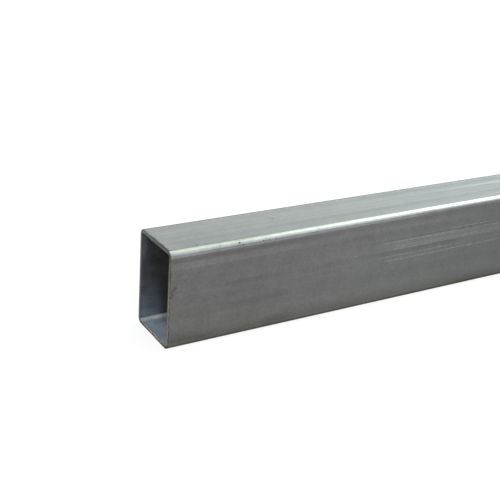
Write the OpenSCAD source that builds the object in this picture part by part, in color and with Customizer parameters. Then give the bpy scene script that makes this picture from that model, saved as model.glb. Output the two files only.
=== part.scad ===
// A length of cold formed rectangular steel tube, lying on its narrow side.
// The length runs along X, the width along Y and the height along Z.
// The origin is in the middle of the bottom face.

/* [Section] */
// Height of the section, its taller side
tube_h = 60; // [40:1:100]
// Width of the section, its shorter side
tube_w = 40; // [30:1:60]
// Thickness of the steel wall
wall_t = 2; // [1.5:0.1:3]
// Outside radius of the rolled corners
corner_r = 3.5; // [3.2:0.1:5]

/* [Length] */
// Length of the piece between its two saw cuts
tube_l = 1000; // [200:10:3000]

/* [Weld seam] */
// How far the seam lies from the middle of the top wall
seam_y = 5.5; // [-10:0.5:10]
// Width of the bead that the weld leaves on the inside
bead_w = 2.4; // [1.6:0.1:4]
// Height of that bead below the inside of the top wall
bead_h = 0.5; // [0.2:0.05:1]

/* [Hidden] */

// A wall bends about one centre at each corner, so its inside radius is smaller by the wall
inner_r = corner_r - wall_t;
inner_w = tube_w - 2 * wall_t;
inner_h = tube_h - 2 * wall_t;

// Radius of the arc that has the bead's width as its chord and the bead's height as its rise
bead_arc_r = (bead_w * bead_w / 4 + bead_h * bead_h) / (2 * bead_h);
// The bead's arc is closed inside the wall, halfway through its thickness
bead_root = wall_t / 2;

zinc_grey = [0.62, 0.64, 0.64];
$fn = 96;

// A rectangle with rounded corners, centred on the origin: crossed bars with a disc in each corner
module rounded_rectangle(w, h, r) {
    square([w - 2 * r, h], center = true);
    square([w, h - 2 * r], center = true);
    for (side = [-1, 1], level = [-1, 1])
        translate([side * (w / 2 - r), level * (h / 2 - r)])
            circle(r = r);
}

// The rolled wall in section
module wall_section() {
    difference() {
        rounded_rectangle(tube_w, tube_h, corner_r);
        rounded_rectangle(inner_w, inner_h, inner_r);
    }
}

// The weld bead in section: the lower cap of a disc, hanging from the inside of the top wall
module bead_section() {
    translate([seam_y, inner_h / 2])
        intersection() {
            translate([0, bead_arc_r - bead_h])
                circle(r = bead_arc_r);
            translate([-bead_w / 2, -bead_h])
                square([bead_w, bead_h + bead_root]);
        }
}

// One piece of stock: the section drawn out along X, sawn square at both ends.
// The seam is planed flush outside, and its bead is left standing inside.
module rectangular_tube() {
    color(zinc_grey)
        translate([-tube_l / 2, 0, tube_h / 2])
            rotate([90, 0, 90])
                linear_extrude(height = tube_l) {
                    wall_section();
                    bead_section();
                }
}

rectangular_tube();
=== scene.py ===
"""A length of galvanised rectangular steel tube, sawn at both ends.

The tube lies along X on its narrow side, with its left end towards the camera.
Lengths are in metres. They come from the frame's box and from the sizes of the rolled section.
The finishes measure in millimetres: x from the left end, y from the middle and z from the bottom.
"""

import math
from functools import reduce

import bmesh
import bpy
from mathutils import Matrix, Vector, noise


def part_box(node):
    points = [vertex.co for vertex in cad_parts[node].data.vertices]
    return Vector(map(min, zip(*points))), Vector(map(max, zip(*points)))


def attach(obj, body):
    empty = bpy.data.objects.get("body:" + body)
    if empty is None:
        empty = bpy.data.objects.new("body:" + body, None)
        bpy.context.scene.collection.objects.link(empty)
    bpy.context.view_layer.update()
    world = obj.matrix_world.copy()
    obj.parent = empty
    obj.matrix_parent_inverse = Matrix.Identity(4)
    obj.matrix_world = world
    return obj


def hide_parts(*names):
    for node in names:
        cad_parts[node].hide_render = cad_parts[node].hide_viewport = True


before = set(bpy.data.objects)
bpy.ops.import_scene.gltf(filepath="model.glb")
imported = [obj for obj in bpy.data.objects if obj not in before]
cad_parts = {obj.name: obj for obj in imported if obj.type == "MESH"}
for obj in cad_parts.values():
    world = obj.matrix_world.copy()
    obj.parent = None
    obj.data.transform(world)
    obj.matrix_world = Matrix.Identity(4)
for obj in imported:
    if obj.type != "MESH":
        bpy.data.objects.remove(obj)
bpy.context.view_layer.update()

MM = 0.001
NODE = "rectangular_tube"

LOW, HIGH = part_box(NODE)
HALF_LENGTH = (HIGH.x - LOW.x) / 2
WIDTH = HIGH.y - LOW.y
HEIGHT = HIGH.z - LOW.z

# The section, as the steel is rolled and welded
WALL = 2.0 * MM
CORNER_RADIUS = 3.5 * MM
SEAM_Y = 5.5 * MM
BEAD_WIDTH = 2.4 * MM
BEAD_HEIGHT = 0.5 * MM

# The saw cuts are a little out of square: the left one by these slopes across the width and up the height
LEFT_SLOPE_Y = math.tan(math.radians(0.36))
LEFT_SLOPE_Z = math.tan(math.radians(0.71))
# The right one by this slope across the width
RIGHT_SLOPE_Y = math.tan(math.radians(0.71))
# Room that the saw's burr takes beyond the cut
CUT_ROOM = 0.3 * MM


# Shader expressions


class Value:
    """What a node puts out. Sums and products of values add Math nodes to the same finish."""

    def __init__(self, finish, socket):
        self.finish = finish
        self.socket = socket

    def maths(self, operation, *terms):
        return self.finish.add("ShaderNodeMath", {"operation": operation}, dict(enumerate(terms)))

    def __add__(self, other):
        return self.maths("ADD", self, other)

    __radd__ = __add__

    def __sub__(self, other):
        return self.maths("SUBTRACT", self, other)

    def __rsub__(self, other):
        return self.maths("SUBTRACT", other, self)

    def __mul__(self, other):
        return self.maths("MULTIPLY", self, other)

    __rmul__ = __mul__

    def __truediv__(self, other):
        return self.maths("DIVIDE", self, other)

    def __abs__(self):
        return self.maths("ABSOLUTE", self)

    def root(self):
        return self.maths("SQRT", self)

    def above(self, limit, soft):
        """0 below the limit and 1 above it, with an edge as wide as soft."""
        span = {"Value": self, "From Min": limit - soft / 2, "From Max": limit + soft / 2}
        return self.finish.add("ShaderNodeMapRange", {"interpolation_type": "SMOOTHSTEP"}, span)

    def below(self, limit, soft):
        """1 below the limit and 0 above it, with an edge as wide as soft."""
        return 1 - self.above(limit, soft)

    def near(self, centre, reach):
        """1 at the centre, falling smoothly to 0 at the reach on either side."""
        return abs(self - centre).below(reach / 2, reach)

    def largest(self, other):
        return self.maths("MAXIMUM", self, other)

    def smallest(self, other):
        return self.maths("MINIMUM", self, other)


def union(shares):
    """The largest of several values."""
    return reduce(Value.largest, shares)


class Finish:
    """A material, with short ways to write its nodes."""

    def __init__(self, name):
        self.material = bpy.data.materials.new(name)
        self.material.use_nodes = True
        self.tree = self.material.node_tree
        self.tree.nodes.clear()

    def add(self, kind, settings, sockets, out=0):
        """Adds one node, sets it up, then gives its sockets their numbers, colours or values."""
        node = self.tree.nodes.new(kind)
        for name, setting in settings.items():
            setattr(node, name, setting)
        for name, value in sockets.items():
            if isinstance(value, Value):
                self.tree.links.new(value.socket, node.inputs[name])
            else:
                node.inputs[name].default_value = value
        if len(node.outputs) == 0:
            return node
        return Value(self, node.outputs[out])

    def position(self):
        """The point on the object in millimetres, then its x from the left end, its y and its z."""
        metres = self.add("ShaderNodeTexCoord", {}, {}, out="Object")
        point = self.add("ShaderNodeVectorMath", {"operation": "SCALE"}, {0: metres, "Scale": 1 / MM})
        x, y, z = [self.add("ShaderNodeSeparateXYZ", {}, {0: point}, out=axis) for axis in "XYZ"]
        return point, x + HALF_LENGTH / MM, y, z

    def stretched(self, point, along, across, shift=0.0):
        """The point with its length scaled by one number and its section by another."""
        settings = {"operation": "MULTIPLY_ADD"}
        sockets = {0: point, 1: (along, across, across), 2: (shift,) * 3}
        return self.add("ShaderNodeVectorMath", settings, sockets)

    def measured(self, point, direction, scale):
        """How far the point lies along a direction, scaled."""
        sockets = {0: point, 1: scale * Vector(direction)}
        return self.add("ShaderNodeVectorMath", {"operation": "DOT_PRODUCT"}, sockets, out="Value")

    def noise(self, point, detail=2.0, roughness=0.5):
        """Smooth noise from about -1 to 1, with one swell for each unit of the point."""
        sockets = {"Vector": point, "Scale": 1.0, "Detail": detail, "Roughness": roughness}
        return self.add("ShaderNodeTexNoise", {}, sockets) * 2 - 1

    def blend(self, share, first, second):
        """The first colour where the share is 0, the second where it is 1."""
        return self.add("ShaderNodeMix", {"data_type": "RGBA"}, {0: share, 6: first, 7: second}, out=2)

    def shade(self, colour, amount):
        """A colour made lighter or darker by a value."""
        return self.add("ShaderNodeVectorMath", {"operation": "SCALE"}, {0: colour, "Scale": amount})

    def spot(self, u, v, middle, reach, soft=1.0):
        """1 inside an oval of the two directions, with a soft edge."""
        off_u = (u - middle[0]) / reach[0]
        off_v = (v - middle[1]) / reach[1]
        return (off_u * off_u + off_v * off_v).below(1, soft)

    def stroke(self, u, v, start, end, width):
        """1 along a thin straight line from the start to the end."""
        du, dv = end[0] - start[0], end[1] - start[1]
        far = ((u - start[0]) * du + (v - start[1]) * dv) / (du * du + dv * dv)
        far = far.largest(0).smallest(1)
        off_u = u - start[0] - far * du
        off_v = v - start[1] - far * dv
        return (off_u * off_u + off_v * off_v).root().below(width / 2, width)

    def bump(self, height, distance):
        return self.add("ShaderNodeBump", {}, {"Height": height, "Distance": distance, "Strength": 1.0})

    def metal(self, colour, roughness, metallic, **others):
        """Gives the material a metal surface of this colour, and hands the material back."""
        sockets = {"Base Color": colour, "Roughness": roughness, "Metallic": metallic, **others}
        return self.ended(self.add("ShaderNodeBsdfPrincipled", {}, sockets))

    def ended(self, shader):
        """Gives the shader to the material's output, and hands the material back."""
        self.add("ShaderNodeOutputMaterial", {}, {"Surface": shader})
        return self.material


# Places that the finishes share, in millimetres

LENGTH_MM = 2 * HALF_LENGTH / MM
HALF_WIDTH_MM = WIDTH / MM / 2
HEIGHT_MM = HEIGHT / MM
WALL_MM = WALL / MM
CORNER_MM = CORNER_RADIUS / MM
CUT_ROOM_MM = CUT_ROOM / MM
# How deep into the section a face's marks reach, and how softly they end
FACE_DEPTH = 0.7
FACE_SOFT = 0.8
# The same for the marks of one wall on the cut
RIM_DEPTH = WALL_MM + 0.4
RIM_SOFT = 0.8


def from_cut(x, y, z):
    """Millimetres from the nearer saw cut, along the tube."""
    left = x - CUT_ROOM_MM - LEFT_SLOPE_Y * (y + HALF_WIDTH_MM) - LEFT_SLOPE_Z * z
    right = LENGTH_MM - CUT_ROOM_MM - RIGHT_SLOPE_Y * (HALF_WIDTH_MM - y) - x
    return left.smallest(right)


def below_skin(y, z):
    """Millimetres from the outside of the section, inwards."""
    off_y = abs(y) - (HALF_WIDTH_MM - CORNER_MM)
    off_z = abs(z - HEIGHT_MM / 2) - (HEIGHT_MM / 2 - CORNER_MM)
    round_y, round_z = off_y.largest(0), off_z.largest(0)
    reach = (round_y * round_y + round_z * round_z).root()
    return CORNER_MM - reach - off_y.largest(off_z).smallest(0)


# The zinc outside

ZINC = (0.172, 0.169, 0.166, 1)
ZINC_GREENISH = (0.165, 0.171, 0.168, 1)
ZINC_OLIVE = (0.172, 0.171, 0.158, 1)
# The upper corner: burnished zinc and also a painted highlight, yellower at its crest and calmer in one
# stretch
BURNISHED_HIGHLIGHT = (0.535, 0.56, 0.565, 1)
BURNISHED_HIGHLIGHT_CREST = (0.56, 0.60, 0.50, 1)
BURNISHED_HIGHLIGHT_CALM = (0.42, 0.505, 0.39, 1)
# Darker, browner colour for the bottom of the near side
LOW_SIDE_COLOUR = (0.094, 0.092, 0.077, 1)
SPECK = (0.03, 0.028, 0.025, 1)
SCUFF = (0.07, 0.06, 0.052, 1)
SMUDGE = (0.05, 0.047, 0.036, 1)

# Lines along the near side, each as its height and reach. The rolls leave them; the bright and the dull line
# under the upper corner are also painted sheen and painted shade
BRIGHT_SHEEN_LINE = (51.0, 3.0)
DULL_SHADE_LINE = (54.2, 2.4)
LOW_LINE = (21.0, 5.0)
LOWEST_LINE = (9.0, 6.0)
# The same along the top, each as its place across and reach
SEAM_LINE = (SEAM_Y / MM, 2.0)
NEAR_DULL_LINE = (-7.8, 2.6)
FAR_DULL_LINE = (13.0, 2.0)
MIDDLE_BAND = (0.0, 9.0)
FAR_BAND = (7.5, 5.0)
NEAR_BAND = (-8.0, 9.0)
# Dull patches on the near side: middle and reach as (x, z), and softness
DULL_PATCHES = [((53, 34.5), (22, 2.2), 1.0), ((56, 21.5), (20, 2.0), 1.6), ((43, 12.6), (7, 2.5), 1.6),
                ((73, 6.7), (8, 2.2), 1.6), ((11, 4.0), (14, 2.5), 1.6), ((173, 34.8), (40, 1.3), 1.6)]
# Single light scratches on the near side, from end to end as (x, z)
LIGHT_SCRATCHES = [((5.0, 32.9), (67.0, 33.0)), ((8.7, 44.0), (15.6, 48.4)),
                   ((6.5, 40.4), (12.6, 45.3)), ((114.9, 39.1), (130.7, 36.0))]
LIGHT_SCRATCH_WIDTH = 0.3
# Fine drawn scratches along the near side: height, start, end and strength, less than 0 where it is dull
DRAWN_LINES = [(43.9, 156, 192, 0.2), (43.8, 204, 240, 0.9), (42.8, 148, 228, -0.22),
               (41.4, 150, 210, 1.1), (41.4, 210, 234, 0.3), (41.4, 234, 254, 0.75),
               (40.3, 202, 232, 0.55), (37.9, 160, 252, 0.65), (37.2, 182, 232, 0.35),
               (36.3, 156, 190, 0.7), (36.4, 190, 250, 0.5), (33.1, 150, 202, -0.2),
               (31.9, 148, 209, 0.85), (28.7, 152, 202, 0.8), (29.35, 200, 230, 1.0),
               (29.35, 230, 260, 0.6), (29.5, 150, 190, 0.2)]
DRAWN_LINE_REACH = 0.42
DRAWN_LINE_FADE = 8
# How steeply the strokes of a wipe rise near the left cut, and how finely they lie along and across
WIPE_SLOPE = math.radians(36)
WIPE_ALONG = 0.07
WIPE_ACROSS = 0.7
# Dark specks on the top, as (x, y), and on the near upper corner, as (x, z), each with its size
TOP_SPECKS = [((19.2, -14.6), 0.7), ((79.8, 3.1), 0.45), ((23.6, 1.9), 0.4), ((24.6, -3.6), 0.4)]
CORNER_SPECKS = [((31.5, 59.0), 0.35), ((44.1, 58.8), 0.6), ((46.4, 57.7), 0.4), ((59.6, 57.9), 0.4),
                 ((63.7, 57.9), 0.3), ((68.3, 57.7), 0.45)]
# A light chip on the top: middle and reach as (x, y)
CHIP = ((85.0, 15.4), (1.6, 0.6))
# Dark smudges beside the left cut on the near side, from end to end as (x, z), and the dim patch round them
SMUDGES = [((1.0, 36.0), (4.4, 38.4)), ((0.8, 32.8), (2.7, 34.8))]
SMUDGE_WIDTH = 1.4
SMUDGE_PATCH = ((2.4, 35.6), (3.2, 4.6), 1.6)
# Depth of the relief that the rolls leave in the zinc
ROLLED_RELIEF = 0.006 * MM


class ZincSkin(Finish):
    """The zinc outside: what its marks share, and a method for each kind of mark."""

    def __init__(self):
        super().__init__("zinc_skin")
        self.point, x, y, z = self.position()
        self.at = (x, y, z)
        self.to_cut = from_cut(x, y, z)
        self.on_top = z.above(HEIGHT_MM - FACE_DEPTH, FACE_SOFT)
        self.near_side = y.below(FACE_DEPTH - HALF_WIDTH_MM, FACE_SOFT)
        # The upper corner, lighter from burnish and from a painted highlight that narrows towards the right
        narrowed = 0.5 * x.above(180, 60) + 0.17 * x.near(128, 50)
        self.corner = y.below(3.0 - HALF_WIDTH_MM, 0.7) * (z - narrowed).above(HEIGHT_MM - 2.9, 3.0)
        self.clouds = self.noise(self.stretched(self.point, 0.05, 0.09), detail=3)
        self.rolled = self.noise(self.stretched(self.point, 0.006, 0.26, 3.0), detail=2, roughness=0.45)
        self.lines = self.noise(self.stretched(self.point, 0.012, 2.5, 7.0), detail=3, roughness=0.6)
        self.mottle = self.noise(self.stretched(self.point, 0.16, 0.12, 2.0), detail=3, roughness=0.6)
        self.grain = self.noise(self.stretched(self.point, 0.45, 0.6), detail=3, roughness=0.7)

    def plain_tone(self):
        """The lightness of the zinc as the rolls leave it all over, about 1."""
        x, _, _ = self.at
        broad = 0.14 + (0.24 + 0.06 * x.above(140, 80)) * self.on_top
        tone = 1 + 0.12 * self.clouds + 0.16 * self.mottle + 0.29 * self.grain
        return tone + broad * self.rolled + 0.07 * self.lines

    def near_lines(self):
        """A factor for the near side: a dull line of painted shade and a bright line of painted sheen under
        its upper corner, duller lines and patches.
        """
        x, _, z = self.at
        # Painted shade beside the upper corner and painted sheen under it, streaked like the rolls' marks
        dull = z.near(*DULL_SHADE_LINE) * x.below(105, 40)
        bright = z.near(*BRIGHT_SHEEN_LINE) * (0.5 + 0.6 * x.below(90, 60)) * x.below(200, 100)
        bright = bright * (1 + 1.4 * self.rolled + 0.8 * self.lines) * (1 - 0.5 * x.below(14, 12))
        patches = union(self.spot(x, z, *patch) for patch in DULL_PATCHES)
        patches = patches * (0.7 + 1.2 * self.clouds + 0.8 * self.rolled).largest(0)
        low = 0.045 * z.near(*LOW_LINE) + 0.12 * z.near(*LOWEST_LINE) * x.below(20, 16)
        low = low + 0.08 * z.below(5.5, 2) * x.above(22, 16)
        lit = 0.09 * x.near(145, 110)
        return 1 + self.near_side * (0.36 * bright - 0.10 * dull + lit - 0.15 * patches - low)

    def wiped(self):
        """A factor for the near side: close to the left cut it was wiped aslant, up to the right."""
        x, _, z = self.at
        rise, run = math.sin(WIPE_SLOPE), math.cos(WIPE_SLOPE)
        along = self.measured(self.point, (run, 0, rise), WIPE_ALONG)
        across = self.measured(self.point, (-rise, 0, run), WIPE_ACROSS)
        drawn_out = self.add("ShaderNodeCombineXYZ", {}, {0: along, 1: across})
        strokes = self.noise(drawn_out, detail=3, roughness=0.6)
        return 1 + 0.16 * strokes * self.near_side * x.below(38, 50) * z.above(26, 16)

    def top_lines(self):
        """A factor for the top: the planed seam is lighter, with a painted highlight on it towards the
        right, the near edge has a painted highlight, and the rolls leave duller and lighter lines.
        """
        x, y, _ = self.at
        # A painted highlight on the seam towards the right
        seam_highlight = (0.32 * x.above(215, 40) + 0.2 * x.above(242, 16)) * x.below(330, 100)
        seam = 0.10 + 0.12 * x.below(30, 30) + 0.12 * x.above(105, 20) + seam_highlight
        seam = seam * y.near(*SEAM_LINE)
        dull = 0.08 * y.near(*NEAR_DULL_LINE) + 0.06 * y.near(*FAR_DULL_LINE)
        # A painted highlight along the near edge, towards the right
        near_edge_highlight = (0.08 * y.below(-13.5, 6) + 0.21 * y.below(-15.8, 1.4)) * x.above(75, 70)
        bands = 0.09 * y.near(*MIDDLE_BAND) * x.near(140, 120) + 0.05 * y.near(*FAR_BAND) * x.below(180, 60)
        bands = bands - 0.07 * y.near(*NEAR_BAND) * x.below(90, 60) * x.above(12, 16)
        chip = 0.35 * self.on_top * self.spot(x, y, *CHIP)
        return (1 + self.on_top * (seam - dull + near_edge_highlight + bands)) * (1 + chip)

    def scratches(self):
        """Light to add on the near side: single scratches, and two bands drawn by another tube."""
        x, _, z = self.at
        single = union(self.stroke(x, z, *ends, LIGHT_SCRATCH_WIDTH) for ends in LIGHT_SCRATCHES)
        broken = self.noise(self.stretched(self.point, 0.3, 3.0, 1.0), detail=3, roughness=0.7)
        drawn = 0
        for height, start, end, strength in DRAWN_LINES:
            line = z.near(height, DRAWN_LINE_REACH) * x.above(start, DRAWN_LINE_FADE)
            drawn = drawn + line * x.below(end, DRAWN_LINE_FADE) * strength
        haze = z.above(35.8, 1.0) * z.below(41.9, 0.8) + 0.4 * z.near(29.2, 1.4)
        haze = haze + 0.4 * z.near(31.8, 0.8) * x.below(202, 10)
        haze = haze * (0.35 * x.above(95, 50) + 0.65 * x.above(148, 24)) * x.below(250, 130)
        light = 0.3 * single * (0.7 + self.grain) + 1.05 * drawn * (0.55 + 3.2 * broken).largest(0)
        return self.near_side * (light + 0.18 * haze)

    def specks(self):
        """Dark specks on the top and on the near upper corner."""
        x, y, z = self.at
        upper_corner = y.below(3.2 - HALF_WIDTH_MM, 0.4)
        specks = [self.on_top * self.spot(x, y, middle, (size, size)) for middle, size in TOP_SPECKS]
        for middle, size in CORNER_SPECKS:
            specks.append(upper_corner * self.spot(x, z, middle, (size, 0.6 * size)))
        return union(specks)

    def smudges(self):
        """Dark smudges beside the left cut, in a dim patch."""
        x, _, z = self.at
        strokes = union(self.stroke(x, z, *ends, SMUDGE_WIDTH) for ends in SMUDGES)
        return self.near_side * strokes.largest(0.2 * self.spot(x, z, *SMUDGE_PATCH))

    def scuffs(self):
        """A dark ragged band along the saw cuts, where the zinc is scuffed off."""
        _, y, z = self.at
        ragged = self.noise(self.stretched(self.point, 0.8, 0.8, 5.0), detail=3, roughness=0.7)
        on_side = 0.12 + 0.18 * z.above(38, 14) - 0.4 * z.near(47.5, 5)
        on_top = 0.3 - 0.6 * y.above(5.5, 4) + 0.35 * y.near(-7.5, 5)
        width = 0.35 - self.near_side * on_side - 0.5 * self.corner + self.on_top * on_top
        return (self.to_cut + 2.2 * ragged).below(width, 0.5)

    def plain_colour(self):
        """The zinc with its tints, its upper corner lighter from burnish and from a painted highlight, and
        the near side darker and browner towards the bottom.
        """
        x, _, z = self.at
        # Greener on the top towards the right: a painted tint of the reflected lamps
        green = self.on_top * x.above(130, 200)
        green = green + self.near_side * (0.3 + 0.5 * x.above(130, 200) * z.below(50, 8))
        zinc = self.blend(green, ZINC, ZINC_GREENISH)
        olive = self.near_side * (z.below(15, 16) * x.below(60, 60)).largest(self.to_cut.below(3, 5))
        zinc = self.blend(olive, zinc, ZINC_OLIVE)
        # Burnish and painted highlight on the upper corner
        burnished_highlight = self.blend(z.above(HEIGHT_MM - 0.8, 0.7), BURNISHED_HIGHLIGHT, BURNISHED_HIGHLIGHT_CREST)
        calm = x.near(129, 60) * z.above(HEIGHT_MM - 0.9, 0.6)
        burnished_highlight = self.blend(calm, burnished_highlight, BURNISHED_HIGHLIGHT_CALM)
        # Darker and browner towards the bottom of the near side
        low_side = self.near_side * z.below(6, 12) * (0.7 + 0.8 * self.clouds + 0.5 * self.mottle)
        return self.blend(low_side, self.blend(self.corner, zinc, burnished_highlight), LOW_SIDE_COLOUR)


def zinc_skin():
    """The zinc outside: satin grey, drawn into fine lines along the length by the rolls."""
    skin = ZincSkin()
    x, y, z = skin.at
    # Painted shade along the far upper corner, which is also made rougher
    far_corner_shade = y.above(HALF_WIDTH_MM - 3.2, 1.6) * z.above(HEIGHT_MM - 3.5, 1.6)
    # Painted shade under the near lower corner; just above it the near side is lighter towards the left
    under_shade = y.below(1.4 - HALF_WIDTH_MM, 0.8) * z.below(2.8, 1.0)
    bottom_edge = skin.near_side * z.near(3.2, 1.8) * (0.1 * x.below(150, 60) + 0.1 * x.below(28, 30))
    bottom_edge = bottom_edge - under_shade * (0.14 + 0.2 * x.above(155, 40))
    scuffed = skin.scuffs()

    tone = skin.plain_tone() * skin.near_lines() * skin.wiped() * skin.top_lines() + skin.scratches()
    tone = tone * (1 - 0.12 * far_corner_shade) * (1 + bottom_edge)
    colour = skin.shade(skin.plain_colour(), tone)
    colour = skin.blend(skin.specks(), colour, SPECK)
    colour = skin.blend(0.85 * scuffed, colour, SCUFF)
    colour = skin.blend(0.6 * skin.smudges(), colour, SMUDGE)
    rough = 0.48 + 0.05 * skin.clouds + 0.05 * skin.rolled - 0.16 * skin.corner + 0.45 * far_corner_shade
    rough = rough + 0.2 * scuffed + 0.3 * under_shade
    relief = skin.bump(0.6 * skin.lines + 0.4 * skin.grain, ROLLED_RELIEF)
    return skin.metal(colour, rough, 0.85, Normal=relief)


# The zinc inside

LINING = (0.163, 0.158, 0.175, 1)
# Painted light low near the mouth
LINING_MOUTH_LIGHT = (0.34, 0.375, 0.42, 1)
# Painted shade further in
LINING_INWARD_SHADE = (0.105, 0.10, 0.10, 1)
# The bottom's colours, bluish and much lighter than the walls: painted light
BLUISH_FAR = (0.625, 0.705, 0.765, 1)
BLUISH_NEAR = (0.58, 0.69, 0.765, 1)
# A painted highlight along the inner far corner
CORNER_GLINT = (0.96, 1.0, 0.94, 1)

# A light run of dross and a dull patch on the far wall: middle and reach as (x, z), and softness
DROSS = ((2.4, 49.0), (2.2, 7.0), 1.6)
DULL_INSIDE = ((8.5, 35.5), (7.0, 5.5), 1.6)


def zinc_lining():
    """The zinc inside: dull walls with painted light low near the mouth and painted shade further in, a
    bluish bottom much lighter from painted light, and a painted highlight along its far corner.
    """
    lining = Finish("zinc_lining")
    point, x, y, z = lining.position()
    to_cut = from_cut(x, y, z)
    clouds = lining.noise(lining.stretched(point, 0.10, 0.16), detail=4)
    grain = lining.noise(lining.stretched(point, 0.5, 0.9, 2.0), detail=4, roughness=0.65)
    far_wall = y.above(HALF_WIDTH_MM - 3, 1)
    bottom = z.below(WALL_MM + 0.9, 0.9)
    # Painted shade further in from the cut, strongest low down, and painted light low near the mouth
    inwards = (to_cut + 0.28 * z).above(17.5, 9)
    mouth_light = z.below(14, 20) * to_cut.below(10, 14)
    # A painted highlight along the far corner of the bottom, mottled and fading inwards
    far_bottom = y.above(HALF_WIDTH_MM - 5.4, 1.4) * z.below(WALL_MM + 0.45, 0.6)
    corner_glint = far_bottom * (0.95 + 2.6 * grain).largest(0).smallest(1)
    # Painted shade on the bottom deeper in, most in its far corner
    deep = to_cut.above(11, 8) * y.above(-4, 10) * y.below(14.2, 2.5) + to_cut.above(13, 5) * y.above(12, 6)
    deep = (z.below(4, 2) * deep).smallest(1)
    edge = to_cut.below(1.2, 1.6) * z.below(50, 6) * z.above(20, 8)
    dross = far_wall * lining.spot(x, z, *DROSS)
    dull = far_wall * lining.spot(x, z, *DULL_INSIDE)

    colour = lining.blend(mouth_light, LINING, LINING_MOUTH_LIGHT)
    colour = lining.blend(inwards, colour, LINING_INWARD_SHADE)
    colour = lining.shade(colour, 1 - 0.45 * z.below(22, 30) * inwards)
    # The bottom is painted light, lighter still by the near wall
    bluish = lining.blend(y.below(-2, 14), BLUISH_FAR, BLUISH_NEAR)
    colour = lining.blend(bottom, colour, lining.shade(bluish, 1 + 0.3 * y.below(-12, 6)))
    colour = lining.shade(colour, 1 + 0.5 * clouds + 0.4 * grain + 0.5 * dross + 0.4 * edge - 0.3 * dull)
    colour = lining.blend(corner_glint * (1 - 0.6 * inwards), colour, CORNER_GLINT)
    colour = lining.shade(colour, 1 - 0.4 * deep)
    return lining.metal(colour, 0.5, 0.2 - 0.2 * corner_glint)


# The saw cuts

STEEL = (0.236, 0.224, 0.213, 1)
STEEL_FAR = (0.236, 0.21, 0.208, 1)
STEEL_NEAR = (0.232, 0.226, 0.185, 1)
STEEL_NEAR_LOW = (0.262, 0.258, 0.25, 1)
STEEL_TOP_NEAR = (0.222, 0.212, 0.235, 1)
BROWNED = (0.068, 0.046, 0.045, 1)


def sawn_steel():
    """The bare steel of the saw cuts: lighter towards the inside, browned and ragged towards the outside."""
    steel = Finish("sawn_steel")
    point, _, y, z = steel.position()
    grain = steel.noise(steel.stretched(point, 1.5, 1.5), detail=3)
    ragged = steel.noise(steel.stretched(point, 0.6, 0.6, 5.0), detail=3, roughness=0.7)
    depth = below_skin(y, z)
    near_wall = y.below(RIM_DEPTH - HALF_WIDTH_MM, RIM_SOFT) * z.above(4, 2)
    far_wall = y.above(HALF_WIDTH_MM - RIM_DEPTH, RIM_SOFT)
    top_wall = z.above(HEIGHT_MM - RIM_DEPTH, RIM_SOFT)
    bottom_wall = z.below(RIM_DEPTH, RIM_SOFT)
    top_far = top_wall * y.above(5.5, 4)
    top_near = z.above(HEIGHT_MM - 3.4, 1.5) * y.below(5.5 - HALF_WIDTH_MM, 3)

    reach = 0.8 - near_wall * (0.5 - 0.6 * z.near(47.5, 5)) - 0.35 * top_far
    reach = reach + bottom_wall * (0.6 + 0.5 * abs(y).above(13, 6)) + 0.4 * top_wall * y.near(-6.5, 5)
    browned = (depth + 2.0 * ragged).below(reach, 0.6)
    dulled = far_wall.largest(top_wall).largest(0.8 * near_wall * z.above(38, 14))
    shaded = near_wall * depth.above(1.3, 0.5) * z.below(38, 20)
    dark = 0.5 * dulled - 0.13 * top_far + 0.12 * top_near + 0.6 * shaded
    dark = dark + 0.3 * near_wall * z.above(HEIGHT_MM - 7, 4)
    low_ends = 0.32 * y.above(9, 4) + 0.35 * y.below(-12.5, 5) * depth.below(1.6, 0.4)
    dark = dark + bottom_wall * low_ends

    near_bare = steel.blend(z.below(13, 8), STEEL_NEAR, STEEL_NEAR_LOW)
    bare = steel.blend(far_wall, STEEL, STEEL_FAR)
    bare = steel.blend(near_wall, bare, near_bare)
    bare = steel.blend(top_near, bare, STEEL_TOP_NEAR)
    bare = steel.shade(bare, 1 + 0.9 * bottom_wall)
    colour = steel.blend(browned * (0.85 + 0.15 * bottom_wall), bare, BROWNED)
    colour = steel.shade(colour, (1 + 0.5 * grain) * (1 - dark))
    return steel.metal(colour, 0.5, 0.6)


# The tube's section

FLAT_STEP = 0.8 * MM
CORNER_STEPS = 12
SEAM_STEPS = 12
# How near to the seam, as a share of the bead's width, the top's plain places give way to the seam's own
SEAM_ROOM = 0.6
# Number of the top among the section's faces
TOP = 2


class Place:
    """A place round the section: its point and outward direction in Y and Z, and its face.

    The share runs from -1 to 1 across a flat, and the gap is the way from there to the nearer corner.
    """

    def __init__(self, point, outward, face, share, gap):
        self.point = point
        self.outward = outward
        self.face = face
        self.share = share
        self.gap = gap
        self.walk = 0.0


def flat_marks(length, face):
    """How far each place on a flat lies from its middle. They crowd together at the weld seam."""
    count = round(length / FLAT_STEP)
    marks = [length * (i / count - 0.5) for i in range(count)]
    if face == TOP:
        seam = [BEAD_WIDTH * (i / SEAM_STEPS - 0.5) - SEAM_Y for i in range(SEAM_STEPS + 1)]
        marks = [mark for mark in marks if abs(mark + SEAM_Y) > SEAM_ROOM * BEAD_WIDTH]
        marks = sorted(marks + seam)
    return marks


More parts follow.
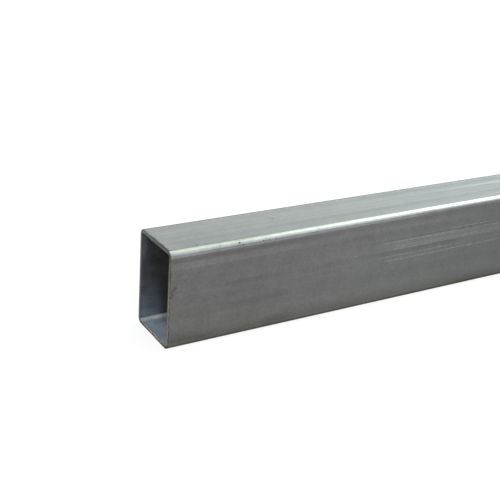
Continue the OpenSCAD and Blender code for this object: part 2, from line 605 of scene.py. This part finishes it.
def section_places():
    """Places round the outside of the section, from the bottom face past the far side."""
    up, across = Vector((0, 1)), Vector((1, 0))
    centre = Vector((0, HEIGHT / 2))
    sides = [(across, -up), (up, across), (-across, up), (-up, -across)]
    places = []
    for face, (ahead, outward) in enumerate(sides):
        reach = HEIGHT / 2 if face % 2 == 0 else WIDTH / 2
        flat = (WIDTH if face % 2 == 0 else HEIGHT) - 2 * CORNER_RADIUS
        middle = centre + outward * reach
        for mark in flat_marks(flat, face):
            places.append(Place(middle + ahead * mark, outward, face, 2 * mark / flat, flat / 2 - abs(mark)))
        pivot = middle + ahead * flat / 2 - outward * CORNER_RADIUS
        for step in range(CORNER_STEPS):
            turn = math.pi / 2 * step / CORNER_STEPS
            facing = outward * math.cos(turn) + ahead * math.sin(turn)
            places.append(Place(pivot + facing * CORNER_RADIUS, facing, face, 1.0, 0.0))
    for before, place in zip(places, places[1:]):
        place.walk = before.walk + (place.point - before.point).length
    return places


# The tube's relief

# How far the flats round off before the corners, and over what reach
SHOULDER_DROP = 0.07 * MM
SHOULDER_REACH = 4.5 * MM
# How hollow the flats are, how much their waves add, and the waves' size along and round the tube
HOLLOW = 0.05 * MM
WAVE_HEIGHT = 0.03 * MM
WAVE_LENGTH = 90 * MM
WAVE_WIDTH = 14 * MM
# Length of the weld bead's ripples, and their share of its height
RIPPLE_LENGTH = 1.5 * MM
RIPPLE_SHARE = 0.1
# The outer edge dragged down by the saw: least and further drop, reach along the tube, size of its patches
ROLL_LEAST = 0.02 * MM
ROLL_FURTHER = 0.12 * MM
ROLL_REACH = 1.2 * MM
ROLL_PATCH = 1.7 * MM
# Below this level only the far half of the edge is dragged, and the drag fades in over this width before it
SHARP_LEVEL = CORNER_RADIUS
SHARP_FADE = 6 * MM
# The burr that stands into the mouth: least and further height, reach along the tube, size of its patches
BURR_LEAST = 0.06 * MM
BURR_FURTHER = 0.32 * MM
BURR_REACH = 0.9 * MM
BURR_PATCH = 1.3 * MM
# How uneven the cut face is, and the size of its patches
CUT_UNEVEN = 0.04 * MM
CUT_PATCH = 0.9 * MM
# Where each relief takes its noise, so that no two are alike
WAVE_SEED = 3.0
RIPPLE_SEED = 9.0
ROLL_SEED = 5.0
BURR_SEED = 11.0
CUT_SEED = 20.0


def uneven(place, size, seed):
    """Uneven from 0 to 1 round the section, in patches of about the given size."""
    spot = Vector((place.point.x / size, place.point.y / size, seed))
    return 0.5 + 0.5 * noise.noise(spot)


def panel_dip(place, x):
    """How far the rolled surface lies under the true section.

    The flats round off before they reach the corners, and are a little hollow and wavy between.
    """
    shoulder = SHOULDER_DROP * max(0.0, 1 - place.gap / SHOULDER_REACH) ** 2
    if place.gap == 0:
        return shoulder
    rise = 1 - place.share ** 2
    wave = noise.noise(Vector((x / WAVE_LENGTH, place.walk / WAVE_WIDTH, WAVE_SEED)))
    return shoulder + rise * (HOLLOW + WAVE_HEIGHT * wave)


def bead_rise(place, x):
    """How far the weld bead stands out of the inside of the top wall."""
    if place.face != TOP or place.gap == 0:
        return 0.0
    off = (place.point.x - SEAM_Y) / (BEAD_WIDTH / 2)
    if abs(off) >= 1:
        return 0.0
    ripple = 1 + RIPPLE_SHARE * (noise.noise(Vector((x / RIPPLE_LENGTH, 0, RIPPLE_SEED))) - 1)
    return BEAD_HEIGHT * (1 - off ** 2) * ripple


def edge_roll(place, distance, end):
    """How far the outer edge is dragged down close to the saw cut. The near end of its bottom is sharp."""
    if distance >= ROLL_REACH:
        return 0.0
    drop = ROLL_LEAST + ROLL_FURTHER * uneven(place, ROLL_PATCH, ROLL_SEED + end)
    if place.point.y < SHARP_LEVEL:
        drop *= min(1.0, max(0.0, place.point.x / SHARP_FADE + 1.0))
    return drop * (1 - distance / ROLL_REACH) ** 2


def edge_burr(place, distance, end):
    """How far the burr stands into the mouth close to the saw cut."""
    if distance >= BURR_REACH:
        return 0.0
    size = BURR_LEAST + BURR_FURTHER * uneven(place, BURR_PATCH, BURR_SEED + end) ** 2
    return size * (1 - distance / BURR_REACH) ** 2


# The tube's rings, from cut to cut

END_STEPS = [0.0, 0.1, 0.25, 0.45, 0.7, 1.0, 1.4, 2.2, 3.5, 5.5, 8.5, 13.0, 20.0]
END_REACH = END_STEPS[-1] * MM
MIDDLE_STEP = 12 * MM
CUT_ROWS = 5
# Edges that turn by more than this are shown sharp
SHARP_ANGLE = math.radians(50)
# Numbers of the tube's materials
OUTSIDE, INSIDE, SAWN = range(3)


def stations():
    """Each ring's distance from the cut that it belongs to, from the left end to the right."""
    near = [distance * MM for distance in END_STEPS]
    span = 2 * (HALF_LENGTH - END_REACH)
    count = round(span / MIDDLE_STEP)
    middle = [END_REACH + span * i / count for i in range(1, count)]
    left = [(-1, distance) for distance in near + [m for m in middle if m < HALF_LENGTH]]
    right = [(1, distance) for _, distance in reversed(left)]
    return left + right


def cut_x(y, z, end):
    """Where the saw went through, at one point of the section. The end is -1 on the left, 1 on the right."""
    if end < 0:
        skew = LEFT_SLOPE_Y * (y + WIDTH / 2) + LEFT_SLOPE_Z * z
    else:
        skew = RIGHT_SLOPE_Y * (WIDTH / 2 - y)
    return end * (HALF_LENGTH - CUT_ROOM - skew)


def ring_x(place, end, distance):
    """X of a ring's point: the rings near an end follow its cut, and the others are square."""
    follow = max(0.0, 1 - distance / END_REACH)
    square = end * (HALF_LENGTH - CUT_ROOM)
    return square + follow * (cut_x(*place.point, end) - square) - end * distance


def skin_point(place, end, distance):
    x = ring_x(place, end, distance)
    depth = panel_dip(place, x) + edge_roll(place, distance, end)
    return Vector((x, *(place.point - place.outward * depth)))


def lining_point(place, end, distance):
    x = ring_x(place, end, distance)
    depth = WALL + bead_rise(place, x) + edge_burr(place, distance, end)
    return Vector((x, *(place.point - place.outward * depth)))


def cut_point(place, end, row):
    """A point of the cut face, on one of the rows between its outer and inner edge."""
    point = skin_point(place, end, 0.0).lerp(lining_point(place, end, 0.0), row / CUT_ROWS)
    spot = Vector((point.y / CUT_PATCH, point.z / CUT_PATCH, CUT_SEED + end))
    point.x += end * CUT_UNEVEN * noise.noise(spot)
    return point


def tube_rings():
    """The rings of the closed skin, and the material of the strip after each.

    They go out along the outside, over the right cut, back along the inside and over the left cut.
    """
    places = section_places()
    along = stations()
    rows = range(1, CUT_ROWS)
    rings = [[skin_point(place, end, distance) for place in places] for end, distance in along]
    rings += [[cut_point(place, 1, row) for place in places] for row in rows]
    rings += [[lining_point(place, end, distance) for place in places] for end, distance in reversed(along)]
    rings += [[cut_point(place, -1, row) for place in places] for row in reversed(rows)]
    strips = len(along) - 1
    materials = [OUTSIDE] * strips + [SAWN] * CUT_ROWS + [INSIDE] * strips + [SAWN] * CUT_ROWS
    return rings, materials


def linked(name, data):
    """A new object with this data, in the scene."""
    piece = bpy.data.objects.new(name, data)
    bpy.context.scene.collection.objects.link(piece)
    return piece


def tube_piece():
    """The whole tube as one closed skin."""
    rings, materials = tube_rings()
    work = bmesh.new()
    grid = [[work.verts.new(point) for point in ring] for ring in rings]
    for here, there, material in zip(grid, grid[1:] + grid[:1], materials):
        for column in range(len(here)):
            beside = (column + 1) % len(here)
            face = work.faces.new((here[column], there[column], there[beside], here[beside]))
            face.material_index = material
            face.smooth = True
    bmesh.ops.recalc_face_normals(work, faces=work.faces)
    mesh = bpy.data.meshes.new("tube")
    work.to_mesh(mesh)
    work.free()
    mesh.set_sharp_from_angle(angle=SHARP_ANGLE)
    for material in (zinc_skin(), zinc_lining(), sawn_steel()):
        mesh.materials.append(material)
    return linked("tube", mesh)


# The studio

FLOOR_SIZE = 40.0
FLOOR_GAP = 0.05 * MM
FLOOR_PLAIN = (0.45, 0.45, 0.45, 1)
FLOOR_LIT = (0.21, 0.20, 0.202, 1)
FLOOR_GLOW = 0.89
FLOOR_SEEN_BY = ("Is Camera Ray", "Is Glossy Ray", "Is Transmission Ray")
WHITE = (1, 1, 1, 1)
ROOM_GREY = (0.15, 0.15, 0.15, 1)

COOL_TINT = (0.91, 1.0, 0.985)
FRONT_TINT = (0.96, 0.98, 0.97)
LEFT_TINT = (0.86, 0.93, 1.0)
# Lamps: name, centre and target from the middle of the left mouth, width, depth, radiance and tint
LAMPS = [("overhead", (1.3, 0.1, 1.6), (1.3, 0.1, 0), 2.4, 2.1, 1.2, COOL_TINT),
         ("overhead_right", (2.6, 0.15, 1.6), (0.3, 0.15, 0), 1.6, 2.2, 3.4, COOL_TINT),
         ("front", (1.6, -2.2, 1.7), (0.3, 0, 0), 3.0, 1.4, 1.0, FRONT_TINT),
         ("panel", (1.9, 2.4, 1.0), (0.3, 0, 0), 4.0, 1.6, 3.4, COOL_TINT),
         ("left", (-0.9, -0.6, 0.9), (0, 0, 0), 0.8, 0.8, 3.5, LEFT_TINT)]


def floor_finish():
    """A pale floor that the camera and the metal see as white, but for the tube's soft shadow."""
    finish = Finish("studio_floor")
    seen = union(finish.add("ShaderNodeLightPath", {}, {}, out=name) for name in FLOOR_SEEN_BY)
    plain = finish.add("ShaderNodeBsdfDiffuse", {}, {"Color": FLOOR_PLAIN})
    lit = finish.add("ShaderNodeBsdfDiffuse", {}, {"Color": FLOOR_LIT})
    glow = finish.add("ShaderNodeEmission", {}, {"Color": WHITE, "Strength": FLOOR_GLOW})
    white = finish.add("ShaderNodeAddShader", {}, {0: lit, 1: glow})
    return finish.ended(finish.add("ShaderNodeMixShader", {}, {0: seen, 1: plain, 2: white}))


def studio_floor():
    mesh = bpy.data.meshes.new("studio_floor")
    half = FLOOR_SIZE / 2
    corners = [(-half, -half, 0), (half, -half, 0), (half, half, 0), (-half, half, 0)]
    mesh.from_pydata(corners, [], [(0, 1, 2, 3)])
    mesh.materials.append(floor_finish())
    floor = linked("studio_floor", mesh)
    floor.location.z = LOW.z - FLOOR_GAP


def softbox(name, centre, target, width, depth, radiance, tint):
    """A rectangular lamp that faces its target. Its radiance is what a white card in it would show."""
    lamp = bpy.data.lights.new(name, "AREA")
    lamp.shape = "RECTANGLE"
    lamp.size = width
    lamp.size_y = depth
    lamp.color = tint
    lamp.energy = radiance * math.pi * width * depth
    box = linked(name, lamp)
    box.visible_camera = False
    box.location = centre
    box.rotation_euler = (target - centre).to_track_quat("-Z", "Y").to_euler()


def studio_lights():
    """Broad soft lights overhead, in front and behind, and a weak cool one on the left."""
    mouth = Vector((-HALF_LENGTH, 0, HEIGHT / 2))
    for name, centre, target, *rest in LAMPS:
        softbox(name, mouth + Vector(centre), mouth + Vector(target), *rest)


def room_light():
    """An even, dim grey all round."""
    world = bpy.data.worlds.new("room")
    world.use_nodes = True
    world.node_tree.nodes["Background"].inputs["Color"].default_value = ROOM_GREY
    bpy.context.scene.world = world


# The camera, placed from the left cut's middle

IMAGE_PIXELS = 500
SENSOR_MM = 36.0
FOCAL_PIXELS = 923.92
CLIP_START = 0.01
VIEW_AZIMUTH = math.radians(-32.05)
VIEW_ELEVATION = math.radians(23.15)
VIEW_ROLL = math.radians(3.78)
EYE_FROM_CUT = Vector((-205.49, -427.91, 229.48)) * MM


def view_axes():
    """The camera's right, up and back directions."""
    level = math.cos(VIEW_ELEVATION)
    back_x, back_y = math.sin(VIEW_AZIMUTH) * level, -math.cos(VIEW_AZIMUTH) * level
    back = Vector((back_x, back_y, math.sin(VIEW_ELEVATION)))
    sideways = Vector((0, 0, 1)).cross(back).normalized()
    right = math.cos(VIEW_ROLL) * sideways + math.sin(VIEW_ROLL) * back.cross(sideways)
    return right, back.cross(right), back


def camera():
    """The camera, at the angle that the tube is pictured from."""
    data = bpy.data.cameras.new("camera")
    data.sensor_width = SENSOR_MM
    data.lens = FOCAL_PIXELS / IMAGE_PIXELS * SENSOR_MM
    data.clip_start = CLIP_START
    eye = linked("camera", data)
    cut = Vector((cut_x(0.0, HEIGHT / 2, -1), 0, HEIGHT / 2))
    turned = Matrix(view_axes()).transposed().to_4x4()
    eye.matrix_world = Matrix.Translation(cut + EYE_FROM_CUT) @ turned
    bpy.context.scene.camera = eye


camera()
studio_floor()
studio_lights()
room_light()
bpy.context.scene.view_settings.view_transform = "Standard"

tube = tube_piece()
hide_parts(NODE)
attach(tube, "root")
